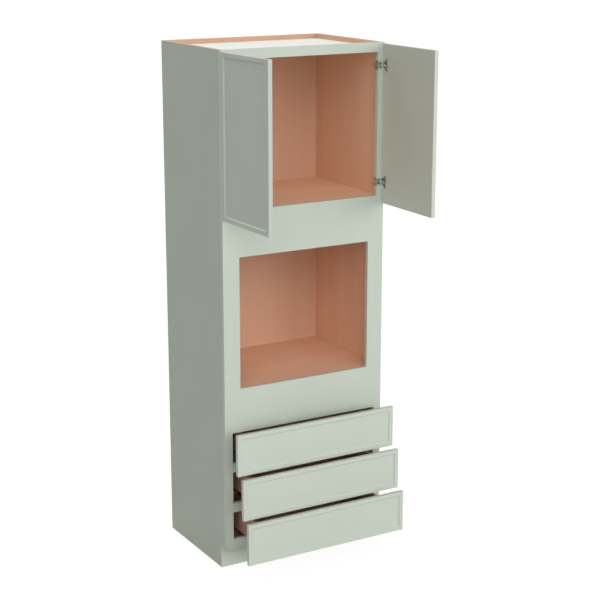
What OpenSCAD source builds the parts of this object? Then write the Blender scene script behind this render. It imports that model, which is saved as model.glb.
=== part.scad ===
// Tall oven cabinet: a face frame cabinet with an upper cupboard behind two doors,
// a cut-out for a built-in oven and three drawers on full extension slides below it.
// X runs to the right, Y to the wall and Z up. The origin is where the wall meets the floor,
// in the middle of the width. Doors and drawers stand as far open as the design shows.

/* [Carcass] */
// Outside width of the cabinet
cabinet_w = 838; // [790:2:940]
// Depth from the wall to the front of the face frame
cabinet_d = 590; // [580:2:680]
// Thickness of the side panels
side_t = 18; // [15:1:22]
// Thickness of the back panel
back_t = 9.5; // [6:0.5:12]
// Width of the rabbets that hold the back in the sides
rabbet_w = 10; // [6:1:12]
// Thickness of the decks and the top panel
deck_t = 18; // [15:1:22]
// Thickness of the tongues on the ends of the decks
tongue_t = 12; // [8:1:13]
// Depth of the housings that hold the tongues in the sides
housing_depth = 6; // [4:1:8]
// Distance of the top panel below the upper edge
top_recess = 22; // [15:1:24]
// Height of the toe space
toe_h = 108; // [90:1:130]
// Distance of the toe kick board behind the front of the face frame
toe_recess = 51; // [40:1:80]
// Thickness of the toe kick board
toe_board_t = 12; // [9:1:18]

/* [Face frame] */
// Thickness of the face frame
frame_t = 19; // [17:1:24]
// Width of the stiles
stile_w = 38; // [34:1:46]
// Height of the top rail
top_rail_h = 43; // [41:1:60]
// Height of the opening behind the doors
door_opening_h = 658; // [450:1:900]
// Height of the panel between the doors and the oven
upper_cross_h = 211; // [80:1:260]
// Height of the cut-out for the oven
oven_cutout_h = 610; // [500:1:760]
// Width of the cut-out for the oven
oven_cutout_w = 676; // [600:1:696]
// Height of the panel between the oven and the drawers
lower_cross_h = 207; // [80:1:260]
// Height of the opening of the upper drawer
upper_opening_h = 146; // [134:1:200]
// Height of the opening of the middle drawer
middle_opening_h = 153; // [134:1:200]
// Height of the opening of the lower drawer
lower_opening_h = 134; // [133:1:200]
// Height of the rails between the drawers
drawer_rail_h = 43; // [32:1:60]
// Height of the bottom rail
bottom_rail_h = 44; // [36:1:60]
// Length of the stub tenons on the rails
tenon_l = 8; // [4:1:12]
// Thickness of the stub tenons
tenon_t = 7; // [5:1:9]
// Shoulder above and below each stub tenon
tenon_shoulder = 6; // [4:1:9]

/* [Doors and drawer fronts] */
// Thickness of the doors and drawer fronts
front_t = 19; // [18:0.5:22]
// Width of the raised border
trim_w = 24; // [18:1:40]
// Width of the raised border along the upright edges of the doors
door_stile_w = 34; // [24:1:60]
// Thickness of the raised border
trim_t = 6; // [3:0.5:6.5]
// Radius of the eased outer edges
ease_r = 1.5; // [0.5:0.25:2.5]
// Height of the square step below the bevelled inner edges of the border
bevel_step = 0.5; // [0.25:0.25:2]
// Width of the stile that shows beside a door or drawer front
side_reveal = 3; // [1:0.5:5]
// Gap between the two closed doors
leaf_gap = 3; // [2:0.5:5]
// Gap between a closed door and the face frame
door_frame_gap = 3.5; // [3.25:0.25:5]
// Distance from the top of the doors to the top of the cabinet
door_top_reveal = 6.5; // [3:0.5:16]
// How far the doors cover the panel below their opening
door_overlay = 35; // [10:1:60]
// Angle that the doors stand open
door_rest_angle = 89; // [60:1:90]
// Gap between two drawer fronts
front_gap = 3.5; // [2:0.5:6]
// Height of the bottom rail that shows below the lowest front
bottom_reveal = 2.5; // [0:0.5:8]
// How far the upper drawer front covers the panel above it
top_overlay = 29; // [8:1:60]
// Gap between a closed drawer front and the face frame
drawer_frame_gap = 2; // [1:0.5:4]

/* [Hinges] */
// Height of the lower hinge above the lower edge of the door
hinge_from_bottom = 100; // [60:1:180]
// Height of the upper edge of the door above the upper hinge
hinge_from_top = 95.5; // [60:0.5:180]
// Distance of the hinge pin from the edge of the door
pivot_inset = 5.5; // [5.25:0.05:5.75]
// Depth of the hinge pin below the back of the door
pivot_depth = 4.5; // [4.25:0.05:4.75]
// Radius of the hinge pin
pin_r = 1; // [0.8:0.05:1.15]
// Running clearance round the hinge pin
pin_clearance = 0.08; // [0.03:0.01:0.1]
// Thickness of the knuckle round the hinge pin
knuckle_t = 0.9; // [0.6:0.05:1]
// Radius of the hinge cup
cup_r = 17.5; // [17:0.1:18]
// Depth of the hinge cup
cup_depth = 11; // [10:0.1:11.5]
// Wood between the hinge cup and the edge of the door
cup_tab = 3.5; // [3.3:0.05:3.6]
// Sheet thickness of the hinge cup
cup_wall = 0.8; // [0.6:0.05:1]
// Thickness of the flange of the hinge cup
flange_t = 1.2; // [0.8:0.05:1.3]
// Width of the flange round the hinge cup
flange_rim = 1.8; // [1.2:0.1:2]
// Distance between the two screws of a hinge cup
cup_screw_pitch = 45; // [42:0.5:50]
// Radius of the screw holes of the hinge cup
cup_screw_r = 2; // [1.6:0.1:2.4]
// Sheet thickness of the hinge arm
arm_t = 1.8; // [1.4:0.05:1.9]
// Height of the hinge arm at its knuckle
arm_h = 11; // [8:0.5:12]
// Sheet thickness of the mounting plate on the stile
plate_t = 1.7; // [1.2:0.05:1.8]
// Height of the mounting plate on the face of the stile
face_plate_h = 29; // [24:1:36]
// Height of the mounting plate on the edge of the stile
edge_plate_h = 40; // [34:1:50]
// Depth of the mounting plate on the edge of the stile
edge_plate_d = 29; // [22:1:34]
// Radius of the screw holes on the face of the stile
face_screw_r = 1.8; // [1.5:0.1:2.2]
// Radius of the screw holes on the edge of the stile
edge_screw_r = 2.2; // [1.8:0.1:2.6]

/* [Drawer boxes] */
// Height of the drawer boxes
box_h = 102; // [80:1:103]
// Length of the drawer boxes
box_l = 533; // [520:1:545]
// Thickness of the drawer box sides
box_t = 13; // [11:0.5:16]
// Gap between a drawer box and the edge of its opening
box_side_gap = 52; // [16:1:60]
// Gap between a drawer box and the rail above it
box_top_gap = 16; // [3:0.5:17]
// Thickness of the drawer bottoms
bottom_t = 6; // [5:0.5:8]
// Height of the drawer bottom above the lower edge of its box
bottom_lift = 13; // [13:0.5:15]
// Depth of the grooves for the drawer bottoms
groove_depth = 6; // [4:0.5:7]
// Number of dovetails at each corner
tail_count = 3; // [2:1:4]
// Share of the corner height that the dovetails take at their wide ends
tail_share = 0.68; // [0.55:0.01:0.75]
// How much each dovetail spreads on each side
tail_flare = 2; // [1:0.25:2.5]
// Gap in the dovetails and round the drawer bottom
glue_gap = 0.1; // [0.05:0.05:0.2]
// Distance that the upper drawer stands open
upper_pull = 96; // [0:0.5:300]
// Distance that the middle drawer stands open
middle_pull = 147; // [0:0.5:300]
// Distance that the lower drawer stands open
lower_pull = 194.5; // [0:0.5:300]

/* [Drawer slides] */
// Distance of the channels behind the front of the face frame
channel_start = 20; // [20:1:26]
// Distance of the closed links behind the front ends of the channels
link_start = 4; // [2:0.5:8]
// How much shorter the sliding links are than the channels
link_shortening = 83; // [60:1:130]
// Distance from the runners to the back end of their drawer box
runner_end_gap = 20; // [16:1:40]
// Sheet thickness of the slides
steel_t = 1.5; // [1.2:0.05:1.6]
// Running gap between the members of a slide
slide_gap = 0.6; // [0.4:0.05:0.7]
// Width of the runners below the drawer
runner_w = 34; // [30:0.5:40]
// Height of the sides of the runners and links
runner_lip = 8; // [6:0.25:8.5]
// Gap between a runner and the side of its drawer box
runner_side_gap = 1; // [0.4:0.1:1.5]
// Clearance between the side of a drawer box and the channel below it
channel_drop = 3.5; // [3:0.25:4.5]
// Height of the flange that fastens a channel to its cleat
channel_flange_h = 11; // [8:0.5:12]
// Distance of the cleats behind the front of the face frame
cleat_start = 60; // [30:1:90]
// Height of the cleats
cleat_h = 10.5; // [8:0.5:11]

/* [Hidden] */
$fn = 64;

// How far a cutter runs past the piece that it cuts
cut = 1;

// Widths and depths
half_w = cabinet_w / 2;
inner_half_w = half_w - side_t;
opening_half_w = half_w - stile_w;
cutout_half_w = oven_cutout_w / 2;
front_y = -cabinet_d;
frame_back_y = front_y + frame_t;
deck_d = cabinet_d - frame_t - back_t;

// Levels of the face frame, from the floor up
lower_opening_z = toe_h + bottom_rail_h;
lower_rail_z = lower_opening_z + lower_opening_h;
middle_opening_z = lower_rail_z + drawer_rail_h;
upper_rail_z = middle_opening_z + middle_opening_h;
upper_opening_z = upper_rail_z + drawer_rail_h;
lower_cross_z = upper_opening_z + upper_opening_h;
cutout_z = lower_cross_z + lower_cross_h;
upper_cross_z = cutout_z + oven_cutout_h;
door_opening_z = upper_cross_z + upper_cross_h;
top_rail_z = door_opening_z + door_opening_h;
cabinet_h = top_rail_z + top_rail_h;

// Lower edge and height of every rail between the stiles
rails = [
    [toe_h, bottom_rail_h],
    [lower_rail_z, drawer_rail_h],
    [upper_rail_z, drawer_rail_h],
    [lower_cross_z, lower_cross_h],
    [upper_cross_z, upper_cross_h],
    [top_rail_z, top_rail_h]
];

// Undersides of the decks and the top panel
bottom_deck_z = lower_opening_z - deck_t;
oven_deck_z = cutout_z - deck_t;
upper_deck_z = door_opening_z - deck_t;
top_panel_z = cabinet_h - top_recess - deck_t;
deck_levels = [bottom_deck_z, oven_deck_z, upper_deck_z, top_panel_z];

// The left door, closed, and its hinge pins
slab_t = front_t - trim_t;
bevel = trim_t - bevel_step;
door_x = side_reveal - half_w;
door_w = half_w - side_reveal - leaf_gap / 2;
door_z = door_opening_z - door_overlay;
door_h = cabinet_h - door_top_reveal - door_z;
door_back_y = front_y - door_frame_gap;
door_face_y = door_back_y - front_t;
pivot_x = door_x + pivot_inset;
pivot_y = door_back_y - pivot_depth;
hinge_levels = [door_z + hinge_from_bottom, door_z + door_h - hinge_from_top];

// Hinge, with its pin at the origin, X away from the door's edge and Y towards the frame
cup_x = cup_tab + cup_r - pivot_inset;
frame_plane_y = pivot_depth + door_frame_gap;
stile_edge_x = -opening_half_w - pivot_x;
knuckle_r = pin_r + knuckle_t;
crank_gap = 2;
riser_x = pivot_depth + crank_gap;
face_plate_x = riser_x + arm_t;
ear_gap = 0.5;
ear_play = 0.3;
ear_t = 2;
ear_z = arm_h / 2 + ear_gap;
ear_reach = knuckle_r + ear_play;
ear_depth = knuckle_r + 2 * ear_play;
window_z = ear_z + 0.75 * ear_t;
pocket_gap = 0.3;
wing_r = 7;
wing_x = 9.5;

// Drawer boxes
box_half_w = opening_half_w - box_side_gap;
box_inner_half_w = box_half_w - box_t;
drawer_face_y = front_y - drawer_frame_gap - front_t;
box_y = front_y - drawer_frame_gap;
front_half_w = half_w - side_reveal;
upper_box_z = upper_opening_z + upper_opening_h - box_top_gap - box_h;
middle_box_z = middle_opening_z + middle_opening_h - box_top_gap - box_h;
lower_box_z = lower_opening_z + lower_opening_h - box_top_gap - box_h;
box_levels = [upper_box_z, middle_box_z, lower_box_z];

// Edges of the drawer fronts: they meet over the middle of each rail
lower_meet_z = lower_rail_z + drawer_rail_h / 2;
upper_meet_z = upper_rail_z + drawer_rail_h / 2;
lower_front_span = [toe_h + bottom_reveal, lower_meet_z - front_gap / 2];
middle_front_span = [lower_meet_z + front_gap / 2, upper_meet_z - front_gap / 2];
upper_front_span = [upper_meet_z + front_gap / 2, lower_cross_z + top_overlay];

// Slides: each member lies inside the one above it
member_step = steel_t + slide_gap;
link_w = runner_w - 2 * member_step;
channel_w = link_w - 2 * member_step;
runner_top = bottom_lift;
link_top = runner_top - member_step;
channel_top = link_top - member_step;
runner_x = box_inner_half_w - runner_side_gap;
channel_flange_x = box_half_w + slide_gap + steel_t;
cleat_top = channel_drop + steel_t / 2;
channel_l = box_l;
link_l = channel_l - link_shortening;
runner_l = box_l - box_t - runner_end_gap;

module painted() { color([0.76, 0.80, 0.72]) children(); }
module birch() { color([0.80, 0.66, 0.52]) children(); }
module maple() { color([0.72, 0.55, 0.42]) children(); }
module nickel() { color([0.72, 0.72, 0.71]) children(); }
module zinc() { color([0.55, 0.57, 0.58]) children(); }

// A piece made for the left side, set on the right
module on_right() { mirror([1, 0, 0]) children(); }

// The same piece on both sides
module on_both_sides() {
    children();
    on_right() children();
}

// Carcass

// Left side: cut away for the toe space, housed for the decks' tongues and rabbeted for the back
module side_panel() {
    birch() translate([-half_w, 0, 0]) difference() {
        translate([0, frame_back_y, 0]) cube([side_t, -frame_back_y, cabinet_h]);
        translate([-cut, frame_back_y - cut, -cut])
            cube([side_t + 2 * cut, toe_recess + toe_board_t - frame_t + cut, toe_h + cut]);
        for (z = deck_levels)
            translate([side_t - housing_depth, frame_back_y - cut, z])
                cube([housing_depth + cut, deck_d + cut, tongue_t]);
        translate([side_t - rabbet_w, -back_t, -cut])
            cube([rabbet_w + cut, back_t + cut, cabinet_h + 2 * cut]);
    }
}

module back_panel() {
    back_half_w = inner_half_w + rabbet_w;
    birch() translate([-back_half_w, -back_t, 0]) cube([2 * back_half_w, back_t, cabinet_h]);
}

// A deck with a tongue on each end for the housings, by the height of its underside
module deck(z) {
    tongue_half_w = inner_half_w + housing_depth;
    birch() {
        translate([-inner_half_w, frame_back_y, z]) cube([2 * inner_half_w, deck_d, deck_t]);
        translate([-tongue_half_w, frame_back_y, z]) cube([2 * tongue_half_w, deck_d, tongue_t]);
    }
}

module toe_kick_board() {
    painted() translate([-half_w, front_y + toe_recess, 0]) cube([cabinet_w, toe_board_t, toe_h]);
}

// Face frame

// The tenons of one rail, or with a longer reach the mortises that take them
module tenon(x, z, h, reach) {
    translate([x, front_y + (frame_t - tenon_t) / 2, z + tenon_shoulder])
        cube([reach, tenon_t, h - 2 * tenon_shoulder]);
}

// Left stile, mortised for every rail
module face_stile() {
    painted() difference() {
        translate([-half_w, front_y, toe_h]) cube([stile_w, frame_t, cabinet_h - toe_h]);
        for (rail = rails)
            tenon(-opening_half_w - tenon_l, rail[0], rail[1], tenon_l + cut);
    }
}

// A rail or panel between the stiles, with a stub tenon on each end
module face_rail(z, h) {
    painted() {
        translate([-opening_half_w, front_y, z]) cube([2 * opening_half_w, frame_t, h]);
        on_both_sides() tenon(-opening_half_w - tenon_l, z, h, tenon_l + cut);
    }
}

// Strip that narrows the opening to the oven's width, on the left
module oven_filler() {
    painted() translate([-opening_half_w, front_y, cutout_z])
        cube([opening_half_w - cutout_half_w, frame_t, oven_cutout_h]);
}

// Doors and drawer fronts: a flat slab with a thin raised border round its face.
// X runs across the front from its left edge, Y from its face to its back.

module eased_corner(r) {
    difference() {
        translate([-cut, -cut]) square(r + cut);
        translate([r, r]) circle(r);
    }
}

// Section of a border strip, from its outer edge inwards and from its face back.
// Its inner edge is bevelled at 45 degrees.
module border_section(strip_w, back) {
    difference() {
        square([strip_w, back]);
        eased_corner(ease_r);
        translate([strip_w, 0]) polygon([[-bevel - cut, -cut], [cut, -cut], [cut, bevel + cut]]);
    }
}

module front_slab(w, h) { translate([0, trim_t, 0]) cube([w, slab_t, h]); }

module left_border(strip_w, h, back = trim_t) { linear_extrude(h) border_section(strip_w, back); }

module right_border(strip_w, w, h, back = trim_t) {
    translate([w, 0, 0]) mirror([1, 0, 0]) left_border(strip_w, h, back);
}

// The strip along the top, from the middle of one side strip to the middle of the other
module top_border(side_w, w, h, back = trim_t) {
    translate([side_w / 2, 0, h]) rotate([0, 90, 0])
        linear_extrude(w - side_w) border_section(trim_w, back);
}

// What the bevelled side strip on the left takes away from the end of a strip that meets it
module cope(side_w) {
    translate([0, 0, -trim_w - cut]) linear_extrude(2 * (trim_w + cut))
        polygon([
            [0, -cut], [side_w - bevel - cut, -cut], [side_w, bevel],
            [side_w, trim_t + cut], [0, trim_t + cut]
        ]);
}

// What belongs to the left door, turned about the hinge pins to the angle that it stands at
module at_left_door() {
    translate([pivot_x, pivot_y, 0]) rotate([0, 0, -door_rest_angle])
        translate([-pivot_x, -pivot_y, 0]) children();
}

// The left door's own pieces, drawn from the lower corner of its face
module at_left_leaf() {
    at_left_door() translate([door_x, door_face_y, door_z]) children();
}

// Bores for the hinge cups, each with a pocket for the ears that hold the pin
module cup_recess() {
    translate([cup_x, pivot_depth + cut, 0]) rotate([90, 0, 0])
        cylinder(r = cup_r + pocket_gap / 2, h = cup_depth + cut + pocket_gap / 2);
    translate([-ear_reach - pocket_gap, -ear_depth - pocket_gap, -ear_z - ear_t - pocket_gap])
        cube([ear_reach + cup_x / 2, ear_depth + pivot_depth + pocket_gap + cut,
            2 * (ear_z + ear_t + pocket_gap)]);
}

module door_panel() {
    painted() at_left_door() difference() {
        translate([door_x, door_face_y, door_z]) front_slab(door_w, door_h);
        for (z = hinge_levels) translate([pivot_x, pivot_y, z]) cup_recess();
    }
}

module door_hinge_stile() { painted() at_left_leaf() left_border(door_stile_w, door_h); }

module door_free_stile() {
    painted() at_left_leaf() right_border(door_stile_w, door_w, door_h);
}

// Strip along the top of a door that is as high as h, coped at both ends
module door_rail(h) {
    difference() {
        top_border(door_stile_w, door_w, h);
        translate([0, 0, h]) {
            cope(door_stile_w);
            translate([door_w, 0, 0]) mirror([1, 0, 0]) cope(door_stile_w);
        }
    }
}

module door_top_rail() { painted() at_left_leaf() door_rail(door_h); }
module door_bottom_rail() { painted() at_left_leaf() mirror([0, 0, 1]) door_rail(0); }

// Hinges

// Flange round the mouth of the cup, with a wing above and below for its screws
module flange_outline() {
    circle(cup_r + flange_rim);
    translate([wing_x - wing_r, -cup_screw_pitch / 2]) square([2 * wing_r, cup_screw_pitch]);
    for (side = [-1, 1])
        translate([wing_x, side * cup_screw_pitch / 2]) circle(wing_r);
}

// Cup that is sunk in the door, with the pin that the arm turns on between two ears
module hinge_cup() {
    difference() {
        translate([cup_x, pivot_depth, 0]) {
            rotate([90, 0, 0]) cylinder(r = cup_r, h = cup_depth);
            rotate([-90, 0, 0]) linear_extrude(flange_t) flange_outline();
        }
        translate([cup_x, pivot_depth + flange_t + cut, 0]) rotate([90, 0, 0])
            cylinder(r = cup_r - cup_wall, h = flange_t + cut + cup_depth - cup_wall);
        translate([-cup_r, -ear_depth, -window_z])
            cube([cup_r + cup_x / 2, 2 * cup_r, 2 * window_z]);
        for (side = [-1, 1])
            translate([cup_x + wing_x, 0, side * cup_screw_pitch / 2])
                rotate([-90, 0, 0]) cylinder(r = cup_screw_r, h = cup_depth);
    }
    for (side = [0, 1]) mirror([0, 0, side])
        translate([-ear_reach, -ear_depth, ear_z])
            cube([ear_reach + cup_x / 4, ear_depth + pivot_depth, ear_t]);
    cylinder(r = pin_r, h = 2 * (ear_z + ear_t / 2), center = true);
}

// Arm with its knuckle round the pin, cranked out of the cup and wrapped round the stile
module hinge_arm() {
    difference() {
        union() {
            cylinder(r = knuckle_r, h = arm_h, center = true);
            translate([0, -arm_t / 2, -arm_h / 2]) cube([riser_x + arm_t, arm_t, arm_h]);
            translate([riser_x, -arm_t / 2, -arm_h / 2])
                cube([arm_t, frame_plane_y + arm_t / 2, arm_h]);
            translate([riser_x, frame_plane_y - plate_t, -arm_h / 2])
                cube([stile_edge_x - riser_x, plate_t, arm_h]);
            translate([face_plate_x, frame_plane_y - plate_t, -face_plate_h / 2])
                cube([stile_edge_x + plate_t - face_plate_x, plate_t, face_plate_h]);
            translate([stile_edge_x, frame_plane_y - plate_t, -edge_plate_h / 2])
                cube([plate_t, edge_plate_d + plate_t, edge_plate_h]);
        }
        cylinder(r = pin_r + pin_clearance, h = arm_h + 2 * cut, center = true);
        for (side = [-1, 1]) {
            translate([(face_plate_x + stile_edge_x) / 2, 0, side * face_plate_h / 4])
                rotate([-90, 0, 0]) cylinder(r = face_screw_r, h = frame_plane_y + cut);
            translate([stile_edge_x - cut, frame_plane_y + frame_t / 2, side * edge_plate_h / 3])
                rotate([0, 90, 0]) cylinder(r = edge_screw_r, h = plate_t + 2 * cut);
        }
    }
}

// The two hinges of the left door
module hinge_arms() {
    nickel() for (z = hinge_levels) translate([pivot_x, pivot_y, z]) hinge_arm();
}

module hinge_cups() {
    nickel() at_left_door()
        for (z = hinge_levels) translate([pivot_x, pivot_y, z]) hinge_cup();
}

// Drawer boxes. Each is drawn in its closed place with its lower edge at z = 0.

// Dovetails on the front end of a left side, which also cut their sockets with a gap.
// Their roots run on into the side.
module tails(gap) {
    pitch = box_h / tail_count;
    wide = pitch * tail_share / 2 + gap;
    narrow = wide - tail_flare;
    end = box_t + 2 * gap;
    root = end + cut;
    for (i = [0 : tail_count - 1])
        translate([-box_half_w - gap, box_y - gap, (i + 0.5) * pitch])
            rotate([90, 0, 90]) linear_extrude(box_t + 2 * gap)
                polygon([
                    [0, -wide], [end, -narrow], [root, -narrow],
                    [root, narrow], [end, narrow], [0, wide]
                ]);
}

// The same shape at the back end of the box
module at_box_back() {
    translate([0, 2 * box_y + box_l, 0]) mirror([0, 1, 0]) children();
}

// Bottom panel, or with a gap the grooves that take it
module box_bottom(gap) {
    half = box_inner_half_w + groove_depth - glue_gap + gap;
    inset = box_t - groove_depth + glue_gap - gap;
    translate([-half, box_y + inset, bottom_lift - gap])
        cube([2 * half, box_l - 2 * inset, bottom_t + 2 * gap]);
}

// The lowest dovetail at the back runs on down, because the back is notched beside it
module box_side() {
    maple() difference() {
        union() {
            translate([-box_half_w, box_y + box_t, 0]) cube([box_t, box_l - 2 * box_t, box_h]);
            tails(0);
            at_box_back() {
                tails(0);
                translate([-box_half_w, box_y, 0]) cube([box_t, box_t + cut, box_h / tail_count / 2]);
            }
        }
        box_bottom(glue_gap);
    }
}

// Board across one end of the box, with sockets for the dovetails
module box_end() {
    difference() {
        translate([-box_half_w, box_y, 0]) cube([2 * box_half_w, box_t, box_h]);
        on_both_sides() tails(glue_gap);
        box_bottom(glue_gap);
    }
}

module box_front() { maple() box_end(); }

// The back is notched at both lower corners for the slides
module box_back() {
    notch_w = box_t + runner_side_gap + runner_w + slide_gap + steel_t;
    maple() at_box_back() difference() {
        box_end();
        on_both_sides() translate([-box_half_w - cut, box_y - cut, -cut])
            cube([notch_w + cut, box_t + 2 * cut, bottom_lift + cut]);
    }
}

module drawer_bottom() { birch() box_bottom(0); }

// Front panel of a drawer in one piece with its border, by the levels of its edges
module drawer_front(span) {
    w = 2 * front_half_w;
    h = span[1] - span[0];
    back = trim_t + slab_t / 2;
    painted() translate([-front_half_w, drawer_face_y, span[0]]) {
        front_slab(w, h);
        left_border(trim_w, h, back);
        right_border(trim_w, w, h, back);
        top_border(trim_w, w, h, back);
        mirror([0, 0, 1]) top_border(trim_w, w, 0, back);
    }
}

// Slides. Sections are drawn for the left side, X from the runner's outer face inwards.

// Section of a sheet channel that is open below
module channel_section(w, h) {
    difference() {
        square([w, h]);
        translate([steel_t, -cut]) square([w - 2 * steel_t, h - steel_t + cut]);
    }
}

// Runs a section along the slide, from y over a length
module along_slide(y, l) {
    translate([-runner_x, y + l, 0]) rotate([90, 0, 0]) linear_extrude(l) children();
}

// Runner that is screwed below the drawer bottom
module slide_runner() {
    along_slide(box_y + box_t, runner_l)
        translate([0, runner_top - runner_lip]) channel_section(runner_w, runner_lip);
}

// Link between the cabinet's channel and the runner, in its closed place
module slide_link() {
    along_slide(front_y + channel_start + link_start, link_l)
        translate([member_step, link_top - runner_lip]) channel_section(link_w, runner_lip);
}

// Channel on the cabinet: a rail for the link, with a foot that reaches out to the cleat
module slide_channel() {
    foot_x = runner_x - channel_flange_x;
    rail_x = 2 * member_step;
    along_slide(front_y + channel_start, channel_l) {
        translate([rail_x, -channel_drop - steel_t])
            channel_section(channel_w, channel_top + channel_drop + steel_t);
        translate([foot_x, -channel_drop - steel_t])
            square([rail_x + channel_w - foot_x, steel_t]);
        translate([foot_x, -channel_drop - channel_flange_h]) square([steel_t, channel_flange_h]);
    }
}

// Wooden cleat between the side panel and the channel
module slide_cleat() {
    translate([-inner_half_w, front_y + cleat_start, -cleat_top - cleat_h])
        cube([inner_half_w - channel_flange_x, channel_start + channel_l - cleat_start, cleat_h]);
}

// A piece at each of the three drawer levels
module at_box_levels() {
    for (z = box_levels) translate([0, 0, z]) children();
}

module slide_channels() { zinc() at_box_levels() slide_channel(); }
module slide_cleats() { birch() at_box_levels() slide_cleat(); }

// Puts a drawer's piece at the drawer's level and as far out as it stands
module pulled(pull, z = 0) { translate([0, -pull, z]) children(); }

module slide_runners() { zinc() on_both_sides() slide_runner(); }
module slide_links() { zinc() on_both_sides() slide_link(); }

side_panel();  // left_side_panel
on_right() side_panel();  // right_side_panel
back_panel();
deck(top_panel_z);  // top_panel
deck(upper_deck_z);  // upper_deck
deck(oven_deck_z);  // oven_deck
deck(bottom_deck_z);  // bottom_deck
toe_kick_board();

face_stile();  // left_face_stile
on_right() face_stile();  // right_face_stile
face_rail(top_rail_z, top_rail_h);  // top_face_rail
face_rail(upper_cross_z, upper_cross_h);  // upper_cross_panel
face_rail(lower_cross_z, lower_cross_h);  // lower_cross_panel
oven_filler();  // left_oven_filler
on_right() oven_filler();  // right_oven_filler
face_rail(upper_rail_z, drawer_rail_h);  // upper_drawer_rail
face_rail(lower_rail_z, drawer_rail_h);  // lower_drawer_rail
face_rail(toe_h, bottom_rail_h);  // bottom_face_rail

hinge_arms();  // left_hinge_arms
on_right() hinge_arms();  // right_hinge_arms
slide_cleats();  // left_slide_cleats
on_right() slide_cleats();  // right_slide_cleats
slide_channels();  // left_slide_channels
on_right() slide_channels();  // right_slide_channels

door_panel();  // left_door_panel
door_hinge_stile();  // left_door_hinge_stile
door_free_stile();  // left_door_free_stile
door_top_rail();  // left_door_top_rail
door_bottom_rail();  // left_door_bottom_rail
hinge_cups();  // left_door_hinge_cups
on_right() door_panel();  // right_door_panel
on_right() door_hinge_stile();  // right_door_hinge_stile
on_right() door_free_stile();  // right_door_free_stile
on_right() door_top_rail();  // right_door_top_rail
on_right() door_bottom_rail();  // right_door_bottom_rail
on_right() hinge_cups();  // right_door_hinge_cups

pulled(upper_pull) drawer_front(upper_front_span);  // upper_drawer_front
pulled(upper_pull, upper_box_z) box_side();  // upper_drawer_left_side
pulled(upper_pull, upper_box_z) on_right() box_side();  // upper_drawer_right_side
pulled(upper_pull, upper_box_z) box_front();  // upper_drawer_box_front
pulled(upper_pull, upper_box_z) box_back();  // upper_drawer_back
pulled(upper_pull, upper_box_z) drawer_bottom();  // upper_drawer_bottom
pulled(upper_pull, upper_box_z) slide_runners();  // upper_drawer_runners
pulled(upper_pull / 2, upper_box_z) slide_links();  // upper_slide_links

pulled(middle_pull) drawer_front(middle_front_span);  // middle_drawer_front
pulled(middle_pull, middle_box_z) box_side();  // middle_drawer_left_side
pulled(middle_pull, middle_box_z) on_right() box_side();  // middle_drawer_right_side
pulled(middle_pull, middle_box_z) box_front();  // middle_drawer_box_front
pulled(middle_pull, middle_box_z) box_back();  // middle_drawer_back
pulled(middle_pull, middle_box_z) drawer_bottom();  // middle_drawer_bottom
pulled(middle_pull, middle_box_z) slide_runners();  // middle_drawer_runners
pulled(middle_pull / 2, middle_box_z) slide_links();  // middle_slide_links

pulled(lower_pull) drawer_front(lower_front_span);  // lower_drawer_front
pulled(lower_pull, lower_box_z) box_side();  // lower_drawer_left_side
pulled(lower_pull, lower_box_z) on_right() box_side();  // lower_drawer_right_side
pulled(lower_pull, lower_box_z) box_front();  // lower_drawer_box_front
pulled(lower_pull, lower_box_z) box_back();  // lower_drawer_back
pulled(lower_pull, lower_box_z) drawer_bottom();  // lower_drawer_bottom
pulled(lower_pull, lower_box_z) slide_runners();  // lower_drawer_runners
pulled(lower_pull / 2, lower_box_z) slide_links();  // lower_slide_links
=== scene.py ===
# Looks of the tall oven cabinet: materials, hinge screws, studio and camera.
import math

import bmesh
import bpy
from mathutils import Matrix, Vector


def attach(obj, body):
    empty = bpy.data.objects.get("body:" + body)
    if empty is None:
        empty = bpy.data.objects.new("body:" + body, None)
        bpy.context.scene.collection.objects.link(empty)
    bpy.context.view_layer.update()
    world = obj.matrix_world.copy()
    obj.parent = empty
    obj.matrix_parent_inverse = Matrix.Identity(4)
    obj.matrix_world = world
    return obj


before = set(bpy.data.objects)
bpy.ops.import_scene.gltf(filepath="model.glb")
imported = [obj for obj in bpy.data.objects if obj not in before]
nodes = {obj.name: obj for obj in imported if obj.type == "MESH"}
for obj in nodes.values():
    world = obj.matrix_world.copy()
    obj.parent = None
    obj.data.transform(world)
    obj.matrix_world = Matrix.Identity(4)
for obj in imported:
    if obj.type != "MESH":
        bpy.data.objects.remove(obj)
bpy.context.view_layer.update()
scene = bpy.context.scene

SIDES = ("left", "right")
LEVELS = ("upper", "middle", "lower")


def srgb(r, g, b):
    """Linear colour of an 8 bit sRGB value."""
    linear = []
    for c in (r, g, b):
        c /= 255.0
        linear.append(c / 12.92 if c <= 0.04045 else ((c + 0.055) / 1.055) ** 2.4)
    return (*linear, 1.0)


def scaled(colour, k):
    """A colour made k times as light."""
    return (*(min(1.0, c * k) for c in colour[:3]), 1.0)


PAINT = srgb(198, 206, 194)
# painted shade: the paint made 3 % darker, for the face frame's boards
FRAME_PAINT_SHADED = scaled(PAINT, 0.97)
# painted light: the left door's paint is made darker as painted shade, the right door's lighter
# as painted light
DOOR_PAINT_LIT_SHADED = {"left": scaled(PAINT, 0.945), "right": scaled(PAINT, 1.05)}
# painted shade: the sides' laminate skin in the paint's colour made darker, for the shaded side
# faces
LAMINATE_SHADED = srgb(185, 193, 179)
VENEER = srgb(228, 184, 155)
# painted shade: a darker copy of the veneer for the back panel
BACK_VENEER_SHADED = scaled(VENEER, 0.94)
# painted light: a lighter copy of the veneer for the upward facing decks
DECK_VENEER_LIT = scaled(VENEER, 1.13)
TOP_VENEER = srgb(253, 254, 248)
BOX_WOOD = srgb(186, 147, 127)
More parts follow.
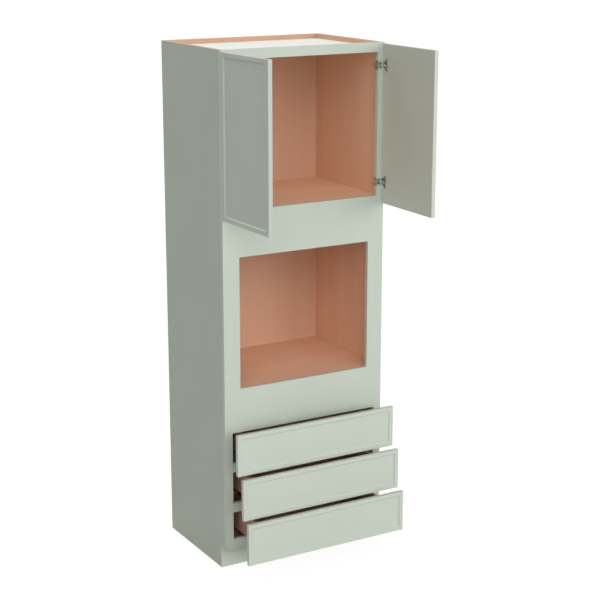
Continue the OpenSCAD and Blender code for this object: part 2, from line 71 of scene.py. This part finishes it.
# painted shade: the box wood made very dark, for the bottom deck and the slide cleats, which
# sit in shade
SHADE_DARK_WOOD = scaled(BOX_WOOD, 0.38)
ARM_NICKEL = (0.60, 0.62, 0.59, 1.0)
CUP_NICKEL = (0.44, 0.46, 0.44, 1.0)
SCREW_STEEL = (0.05, 0.055, 0.05, 1.0)
RUNNER_ZINC = (0.40, 0.40, 0.39, 1.0)
LINK_ZINC = scaled(RUNNER_ZINC, 0.9)
# painted shade: the slide channels' zinc made dark, for where they sit in shade
CHANNEL_ZINC_SHADED = (0.17, 0.16, 0.15, 1.0)

# where a side panel's finish changes and where painted shade starts on the back panel, in
# metres in the frame of the cabinet
SIDE_OUTER_X = 0.4178  # a side panel's laminate lies outside it
SHADE_STRIP_Z = 2.36  # above it the back panel's front is darker, painted shade
SHADE_STRIP_Y = -0.005  # in front of it, so that the panel's rear stays as it is
# the tint of the back panel's painted shade
SHADE_STRIP_TINT = (0.80, 0.785, 0.765, 1.0)

# a paint's or laminate's tone drifts between these shares of its colour
DRIFT = (0.985, 1.012)


class Nodes:
    """A short way to write a material's node tree."""

    def __init__(self, name):
        self.material = bpy.data.materials.new(name)
        self.material.use_nodes = True
        self.tree = self.material.node_tree
        self.tree.nodes.clear()
        self.out = self.tree.nodes.new("ShaderNodeOutputMaterial")
        self.bsdf = self.add("ShaderNodeBsdfPrincipled")
        self.link(self.bsdf.outputs["BSDF"], self.out.inputs["Surface"])

    def add(self, kind, **settings):
        node = self.tree.nodes.new(kind)
        for key, value in settings.items():
            setattr(node, key, value)
        return node

    def link(self, a, b):
        self.tree.links.new(a, b)

    def feed(self, socket, value):
        """Link an output to a socket, or set the socket to a constant."""
        if hasattr(value, "is_linked"):
            self.link(value, socket)
        else:
            socket.default_value = value

    def place(self, scale=(1, 1, 1), shift=(0, 0, 0)):
        """Object coordinates, stretched and shifted."""
        coords = self.add("ShaderNodeTexCoord")
        mapping = self.add("ShaderNodeMapping")
        mapping.inputs["Scale"].default_value = scale
        mapping.inputs["Location"].default_value = shift
        self.link(coords.outputs["Object"], mapping.inputs["Vector"])
        return mapping.outputs["Vector"]

    def axis(self, name):
        """One of the object coordinates, in metres."""
        parts = self.add("ShaderNodeSeparateXYZ")
        self.link(self.place(), parts.inputs["Vector"])
        return parts.outputs[name]

    def noise(self, vector, scale, detail=3.0, rough=0.5, distortion=0.0):
        node = self.add("ShaderNodeTexNoise")
        node.inputs["Scale"].default_value = scale
        node.inputs["Detail"].default_value = detail
        node.inputs["Roughness"].default_value = rough
        node.inputs["Distortion"].default_value = distortion
        self.link(vector, node.inputs["Vector"])
        return node.outputs["Fac"]

    def ramp(self, value, stops):
        node = self.add("ShaderNodeValToRGB")
        elements = node.color_ramp.elements
        while len(elements) < len(stops):
            elements.new(0.5)
        for element, (at, colour) in zip(elements, stops):
            element.position = at
            element.color = colour
        self.link(value, node.inputs["Fac"])
        return node.outputs["Color"]

    def span(self, value, low, high, out_low, out_high):
        """A value mapped from one range to another."""
        node = self.add("ShaderNodeMapRange")
        node.inputs["From Min"].default_value = low
        node.inputs["From Max"].default_value = high
        node.inputs["To Min"].default_value = out_low
        node.inputs["To Max"].default_value = out_high
        self.link(value, node.inputs["Value"])
        return node.outputs["Result"]

    def mix(self, factor, a, b, blend="MIX"):
        node = self.add("ShaderNodeMix", data_type="RGBA", blend_type=blend)
        # 0, 6 and 7 are the factor and the two colours of the RGBA kind
        for socket, value in ((0, factor), (6, a), (7, b)):
            self.feed(node.inputs[socket], value)
        return node.outputs[2]

    def calc(self, operation, a, b=0.0):
        node = self.add("ShaderNodeMath", operation=operation)
        for socket, value in enumerate((a, b)):
            self.feed(node.inputs[socket], value)
        return node.outputs[0]

    def bump(self, height, distance, strength):
        node = self.add("ShaderNodeBump")
        node.inputs["Strength"].default_value = strength
        node.inputs["Distance"].default_value = distance
        self.link(height, node.inputs["Height"])
        self.link(node.outputs["Normal"], self.bsdf.inputs["Normal"])

    def colour(self, socket):
        self.link(socket, self.bsdf.inputs["Base Color"])

    def colour_now(self):
        """The output that feeds the base colour."""
        return self.bsdf.inputs["Base Color"].links[0].from_socket

    def rough(self, socket):
        self.link(socket, self.bsdf.inputs["Roughness"])

    def constant(self, name, value):
        self.bsdf.inputs[name].default_value = value


def drifting(m, vector, colour, scale):
    """A colour that drifts a little over a board."""
    drift = m.noise(vector, scale, detail=2.0)
    return m.ramp(drift, [(0.3, scaled(colour, DRIFT[0])), (0.7, scaled(colour, DRIFT[1]))])


def paint(name, colour, seed, roughness=0.42):
    """Sprayed satin paint: faint tone drift and orange peel."""
    m = Nodes(name)
    v = m.place(shift=(seed * 0.37, seed * 0.61, seed * 0.23))
    tone = drifting(m, v, colour, 5.0)
    specks = m.span(m.noise(v, 420.0, detail=2.0), 0.3, 0.7, 0.0, 0.05)
    m.colour(m.mix(specks, tone, scaled(colour, 0.9)))
    gloss = m.noise(v, 30.0)
    m.rough(m.span(gloss, 0.3, 0.7, roughness - 0.04, roughness + 0.05))
    m.bump(m.noise(v, 260.0, detail=2.0, rough=0.6), 0.00006, 0.35)
    m.constant("Specular IOR Level", 0.28)
    return m.material


def wood_nodes(name, colour, along, seed, contrast=1.0, roughness=0.5):
    """Fine grained wood with the grain along one axis."""
    m = Nodes(name)
    stretch = [1.0, 1.0, 1.0]
    stretch["XYZ".index(along)] = 0.045
    v = m.place(scale=stretch, shift=(seed * 0.71, seed * 0.43, seed * 0.59))
    wide = m.noise(v, 9.0, detail=3.0, rough=0.55, distortion=0.6)
    fine = m.noise(v, 95.0, detail=4.0, rough=0.6, distortion=0.2)
    pores = m.noise(v, 700.0, detail=2.0, rough=0.6)
    light, deep = scaled(colour, 1 + 0.05 * contrast), scaled(colour, 1 - 0.055 * contrast)
    base = m.ramp(wide, [(0.25, deep), (0.5, colour), (0.78, light)])
    dark = (*(c * k for c, k in zip(colour[:3], (0.80, 0.74, 0.68))), 1.0)
    streaked = m.mix(m.span(fine, 0.52, 0.75, 0.0, 0.16 * contrast), base, dark)
    m.colour(m.mix(m.span(pores, 0.55, 0.8, 0.0, 0.10 * contrast), streaked, dark))
    m.rough(m.span(fine, 0.3, 0.7, roughness - 0.05, roughness + 0.06))
    m.bump(m.calc("ADD", fine, pores), 0.00008, 0.3)
    m.constant("Specular IOR Level", 0.25)
    return m


def wood(name, colour, along, seed, contrast=1.0):
    return wood_nodes(name, colour, along, seed, contrast).material


def side_skin(name, seed):
    """A side panel: laminate, darkened as painted shade, on its outside and edges, veneer on
    its inside.
    """
    m = wood_nodes(name, VENEER, "Z", seed)
    veneer = m.colour_now()
    skin = drifting(m, m.place(shift=(seed * 0.31, 0.2, 0.5)), LAMINATE_SHADED, 4.0)
    outside = m.calc("GREATER_THAN", m.calc("ABSOLUTE", m.axis("X")), SIDE_OUTER_X)
    m.colour(m.mix(outside, veneer, skin))
    return m.material


def back_skin(name, seed):
    """The back panel: veneer, with painted shade on its front above the top panel."""
    m = wood_nodes(name, BACK_VENEER_SHADED, "Z", seed, contrast=0.6)
    veneer = m.colour_now()
    # painted shade: the back panel's front above the top panel is made darker
    above = m.calc("GREATER_THAN", m.axis("Z"), SHADE_STRIP_Z)
    front = m.calc("LESS_THAN", m.axis("Y"), SHADE_STRIP_Y)
    painted_shade = m.mix(1.0, veneer, SHADE_STRIP_TINT, "MULTIPLY")
    m.colour(m.mix(m.calc("MULTIPLY", above, front), veneer, painted_shade))
    return m.material


def steel(name, colour, seed, roughness=0.32, metallic=1.0):
    """Plated sheet steel: a cloudy tone and fine unevenness."""
    m = Nodes(name)
    v = m.place(shift=(seed, seed * 0.5, 0.1))
    cloud = m.noise(v, 60.0)
    m.colour(m.ramp(cloud, [(0.25, scaled(colour, 0.86)), (0.75, scaled(colour, 1.08))]))
    gloss = m.noise(v, 240.0, detail=2.0)
    m.rough(m.span(gloss, 0.3, 0.7, roughness - 0.06, roughness + 0.1))
    m.bump(m.noise(v, 900.0, detail=2.0), 0.00003, 0.3)
    m.constant("Metallic", metallic)
    return m.material


def wear(node, material):
    """Give a carried-over node its material."""
    slots = nodes[node].data.materials
    slots.clear()
    slots.append(material)


# each painted board has its own seed, so that neighbours differ a little; most face frame
# boards wear a darker copy of the paint, painted shade
painted_boards = (
    ("toe_kick_board", PAINT),
    ("left_face_stile", FRAME_PAINT_SHADED),
    ("right_face_stile", FRAME_PAINT_SHADED),
    ("top_face_rail", PAINT),
    ("upper_cross_panel", FRAME_PAINT_SHADED),
    ("lower_cross_panel", FRAME_PAINT_SHADED),
    ("left_oven_filler", FRAME_PAINT_SHADED),
    ("right_oven_filler", FRAME_PAINT_SHADED),
    ("upper_drawer_rail", FRAME_PAINT_SHADED),
    ("lower_drawer_rail", FRAME_PAINT_SHADED),
    ("bottom_face_rail", FRAME_PAINT_SHADED),
)
for seed, (board, tone) in enumerate(painted_boards, 1):
    wear(board, paint("paint_" + board, tone, seed))
# the doors wear their shaded and lit copies of the paint, painted light
seed = 20
for side in SIDES:
    for piece in ("panel", "hinge_stile", "free_stile", "top_rail", "bottom_rail"):
        board = f"{side}_door_{piece}"
        wear(board, paint("paint_" + board, DOOR_PAINT_LIT_SHADED[side], seed))
        seed += 1
for seed, level in enumerate(LEVELS, 40):
    wear(f"{level}_drawer_front", paint(f"paint_{level}_drawer_front", PAINT, seed))

wear("left_side_panel", side_skin("left_side_skin", 3))
wear("right_side_panel", side_skin("right_side_skin", 8))
wear("back_panel", back_skin("back_veneer", 12))
# the upper and oven decks wear the lighter veneer, painted light
wear("upper_deck", wood("upper_deck_veneer", DECK_VENEER_LIT, "X", 14))
wear("oven_deck", wood("oven_deck_veneer", DECK_VENEER_LIT, "X", 16))
# the bottom deck wears the dark wood, painted shade
wear("bottom_deck", wood("bottom_deck_veneer", SHADE_DARK_WOOD, "X", 18))
wear("top_panel", wood("top_panel_birch", TOP_VENEER, "X", 21, contrast=0.2))

# the slide cleats and channels wear dark copies of wood and zinc, painted shade
for i, side in enumerate(SIDES):
    wear(f"{side}_slide_cleats", wood(f"{side}_cleat_wood", SHADE_DARK_WOOD, "Y", 24 + i))
    wear(f"{side}_slide_channels", steel(f"{side}_channel_zinc", CHANNEL_ZINC_SHADED, 6 + i))
    wear(f"{side}_hinge_arms", steel(f"{side}_arm_nickel", ARM_NICKEL, 1 + i, 0.38, 0.9))
    wear(f"{side}_door_hinge_cups", steel(f"{side}_cup_nickel", CUP_NICKEL, 4 + i, 0.28))

box_boards = (("left_side", "Y"), ("right_side", "Y"), ("box_front", "X"), ("back", "X"))
for i, level in enumerate(LEVELS):
    for seed, (piece, along) in enumerate(box_boards, 30 + 5 * i):
        board = f"{level}_drawer_{piece}"
        wear(board, wood("wood_" + board, BOX_WOOD, along, seed))
    board = f"{level}_drawer_bottom"
    wear(board, wood("wood_" + board, VENEER, "X", 50 + i))
    wear(f"{level}_drawer_runners", steel(f"{level}_runner_zinc", RUNNER_ZINC, 8 + i))
    wear(f"{level}_slide_links", steel(f"{level}_link_zinc", LINK_ZINC, 11 + i))


# Hinge screws: pan heads with a cross recess, in metres in the frame of the cabinet.
HEAD_SIDES = 20
HEAD_HEIGHT = 0.001
# the head's profile, the cross's half lengths and its depth, as shares of the head's size
HEAD_PROFILE = ((1.0, 0.0), (1.0, 0.35), (0.86, 0.75), (0.55, 1.0))
CROSS_LONG, CROSS_SHORT, CROSS_DEPTH = 0.42, 0.13, 0.55

HINGE_Z = (1.764, 2.298)
# of one pair of screws: X (mirrored for the left side), Y, half their distance, head radius
FACE_PLATE = (0.3916, -0.5917, 0.00725, 0.0033)
EDGE_PLATE = (0.3793, -0.5805, 0.01333, 0.0036)
CUP_WINGS = (0.40496, -0.62291, 0.0225, 0.0036)
WING_RISE = 0.0006  # the cup's wings above the door's inner face


def mesh_object(name, bm, material):
    mesh = bpy.data.meshes.new(name)
    bm.normal_update()
    bm.to_mesh(mesh)
    bm.free()
    mesh.materials.append(material)
    ob = bpy.data.objects.new(name, mesh)
    scene.collection.objects.link(ob)
    return ob


def screw_head(bm, at, out, head_r, turn):
    """A pan head whose rim lies on a face at a point, and which looks along out."""
    out = out.normalized()
    side = out.orthogonal().normalized()
    other = out.cross(side)
    n = HEAD_SIDES
    angles = [2 * math.pi * k / n for k in range(n)]
    loops = []
    for share_r, share_h in HEAD_PROFILE:
        r, h = share_r * head_r, share_h * HEAD_HEIGHT
        loops.append([
            bm.verts.new(at + out * h + (side * math.cos(a) + other * math.sin(a)) * r)
            for a in angles
        ])
    for low_loop, high_loop in zip(loops, loops[1:]):
        for k in range(n):
            j = (k + 1) % n
            bm.faces.new((low_loop[k], low_loop[j], high_loop[j], high_loop[k]))

    arm, half = CROSS_LONG * head_r, CROSS_SHORT * head_r
    plus = (
        (arm, -half), (arm, half), (half, half), (half, arm), (-half, arm), (-half, half),
        (-arm, half), (-arm, -half), (-half, -half), (-half, -arm), (half, -arm), (half, -half),
    )
    c, s = math.cos(turn), math.sin(turn)
    top = [
        bm.verts.new(
            at + out * HEAD_HEIGHT + side * (x * c - y * s) + other * (x * s + y * c)
        )
        for x, y in plus
    ]
    bottom = [bm.verts.new(v.co - out * CROSS_DEPTH * HEAD_HEIGHT) for v in top]
    corners = len(plus)
    for k in range(corners):
        j = (k + 1) % corners
        bm.faces.new((top[k], top[j], bottom[j], bottom[k]))
    bm.faces.new(bottom)
    rim = loops[-1]
    edges = [bm.edges.get((rim[k], rim[(k + 1) % n])) for k in range(n)]
    edges += [bm.edges.get((top[k], top[(k + 1) % corners])) for k in range(corners)]
    bmesh.ops.triangle_fill(bm, edges=edges, use_beauty=True)
    bm.faces.new(list(reversed(loops[0])))


def screw_pairs(name, mirror, spot, out, body, rise=0.0):
    """A pair of screws at the height of each hinge, as one piece that rides a body."""
    x, y, half_gap, head_r = spot
    heights = [z + dz for z in HINGE_Z for dz in (-half_gap, half_gap)]
    bm = bmesh.new()
    for i, z in enumerate(heights):
        at = Vector((mirror * x, y, z)) + out * rise
        screw_head(bm, at, out, head_r, turn=0.5 + 0.7 * i)
    bmesh.ops.recalc_face_normals(bm, faces=bm.faces)
    ob = mesh_object(name, bm, screw_steel)
    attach(ob, body)


screw_steel = steel("dark_link_steel", SCREW_STEEL, 17, 0.4)
for side, mirror in zip(SIDES, (-1, 1)):
    forward = Vector((0.0, -1.0, 0.0))
    inward = Vector((-mirror, 0.0, 0.0))
    off_door = Vector((-0.9998 * mirror, 0.0175, 0.0))  # square to the open door's inner face
    screw_pairs(f"{side}_face_plate_screws", mirror, FACE_PLATE, forward, "cabinet")
    screw_pairs(f"{side}_edge_plate_screws", mirror, EDGE_PLATE, inward, "cabinet")
    screw_pairs(f"{side}_cup_screws", mirror, CUP_WINGS, off_door, f"{side}_door", WING_RISE)


# Studio: soft suns, a white background and a floor that keeps the cabinet's shadow.
# of one sun: name, azimuth, elevation, level and angular size, angles in degrees;
# azimuth 0 is straight in front, positive to the right
SUNS = (
    ("left_low", -35, 8, 0.162, 50),
    ("left_high", -35, 40, 0.252, 50),
    ("front", -10, 25, 0.19, 50),
    ("right_low", 30, 5, 0.573, 50),
    ("behind", 180, 45, 0.47, 60),
)
SUN_DISTANCE = 8.0
WORLD_LEVEL = 0.06
FLOOR_BOUNCE = 0.71
FLOOR_GLOW = 1.10
FLOOR_GLOW_SHARE = 0.85
FLOOR_SHADOW_WHITE = 0.95
FLOOR_HALF_SIZE = 70.0
FLOOR_CELLS = 24
FLOOR_Z = -0.0005


def sun(name, azimuth, elevation, strength, angle):
    light = bpy.data.lights.new(name, "SUN")
    light.energy = strength
    light.angle = math.radians(angle)
    ob = bpy.data.objects.new(name, light)
    az, el = math.radians(azimuth), math.radians(elevation)
    towards = Vector((math.sin(az) * math.cos(el), -math.cos(az) * math.cos(el), math.sin(el)))
    ob.rotation_euler = towards.to_track_quat("Z", "Y").to_euler()
    ob.location = towards * SUN_DISTANCE
    scene.collection.objects.link(ob)


for name, azimuth, elevation, level, angle in SUNS:
    sun(name, azimuth, elevation, level * math.pi, angle)

# the world is white to the camera and to reflections, and dim as a lamp
world = bpy.data.worlds.new("studio")
scene.world = world
world.use_nodes = True
tree = world.node_tree
tree.nodes.clear()
world_out = tree.nodes.new("ShaderNodeOutputWorld")
background = tree.nodes.new("ShaderNodeBackground")
background.inputs["Color"].default_value = (1, 1, 1, 1)
world_path = tree.nodes.new("ShaderNodeLightPath")
seen = tree.nodes.new("ShaderNodeMath")
seen.operation = "MAXIMUM"
tree.links.new(world_path.outputs["Is Camera Ray"], seen.inputs[0])
tree.links.new(world_path.outputs["Is Glossy Ray"], seen.inputs[1])
world_level = tree.nodes.new("ShaderNodeMapRange")
world_level.inputs["To Min"].default_value = WORLD_LEVEL
world_level.inputs["To Max"].default_value = 1.0
tree.links.new(seen.outputs[0], world_level.inputs["Value"])
tree.links.new(world_level.outputs["Result"], background.inputs["Strength"])
tree.links.new(background.outputs["Background"], world_out.inputs["Surface"])

# the floor glows white to the camera, under a share that takes the shadow
floor_nodes = Nodes("floor_white")
floor_nodes.tree.nodes.remove(floor_nodes.bsdf)
floor_path = floor_nodes.add("ShaderNodeLightPath")
glow = floor_nodes.add("ShaderNodeEmission")
glow.inputs["Color"].default_value = (1, 1, 1, 1)
glow.inputs["Strength"].default_value = FLOOR_GLOW
shadowed = floor_nodes.add("ShaderNodeBsdfDiffuse")
shadowed.inputs["Color"].default_value = (*(FLOOR_SHADOW_WHITE,) * 3, 1)
bounce = floor_nodes.add("ShaderNodeBsdfDiffuse")
bounce.inputs["Color"].default_value = (*(FLOOR_BOUNCE,) * 3, 1)
to_camera = floor_nodes.add("ShaderNodeMixShader")
to_camera.inputs["Fac"].default_value = FLOOR_GLOW_SHARE
floor_nodes.link(shadowed.outputs["BSDF"], to_camera.inputs[1])
floor_nodes.link(glow.outputs["Emission"], to_camera.inputs[2])
both = floor_nodes.add("ShaderNodeMixShader")
floor_nodes.link(floor_path.outputs["Is Camera Ray"], both.inputs["Fac"])
floor_nodes.link(bounce.outputs["BSDF"], both.inputs[1])
floor_nodes.link(to_camera.outputs["Shader"], both.inputs[2])
floor_nodes.link(both.outputs["Shader"], floor_nodes.out.inputs["Surface"])

bm = bmesh.new()
bmesh.ops.create_grid(
    bm, x_segments=FLOOR_CELLS, y_segments=FLOOR_CELLS, size=FLOOR_HALF_SIZE
)
floor = mesh_object("floor", bm, floor_nodes.material)
floor.location.z = FLOOR_Z


# Camera, as fitted to the photo: angles in radians, place in metres, focal length in pixels.
YAW, PITCH, ROLL = 0.52611, 0.25473, 0.00038
EYE = (-3.30125, -6.22870, 2.95125)
FOCAL_PX = 1475.607
PHOTO_PX = 600.0
SENSOR = 36.0
CLIP_END = 400.0

cy, sy = math.cos(YAW), math.sin(YAW)
cp, sp = math.cos(PITCH), math.sin(PITCH)
cr, sr = math.cos(ROLL), math.sin(ROLL)
ahead = Vector((sy * cp, cy * cp, -sp))
right = Vector((cy, -sy, 0.0))
up = right.cross(ahead)
right, up = right * cr + up * sr, up * cr - right * sr
camera_data = bpy.data.cameras.new("camera")
camera_data.sensor_width = SENSOR
camera_data.lens = FOCAL_PX * SENSOR / PHOTO_PX
camera_data.clip_end = CLIP_END
camera = bpy.data.objects.new("camera", camera_data)
turned = Matrix((right, up, -ahead)).transposed()
camera.matrix_world = Matrix.Translation(EYE) @ turned.to_4x4()
scene.collection.objects.link(camera)
scene.camera = camera
scene.view_settings.view_transform = "Standard"
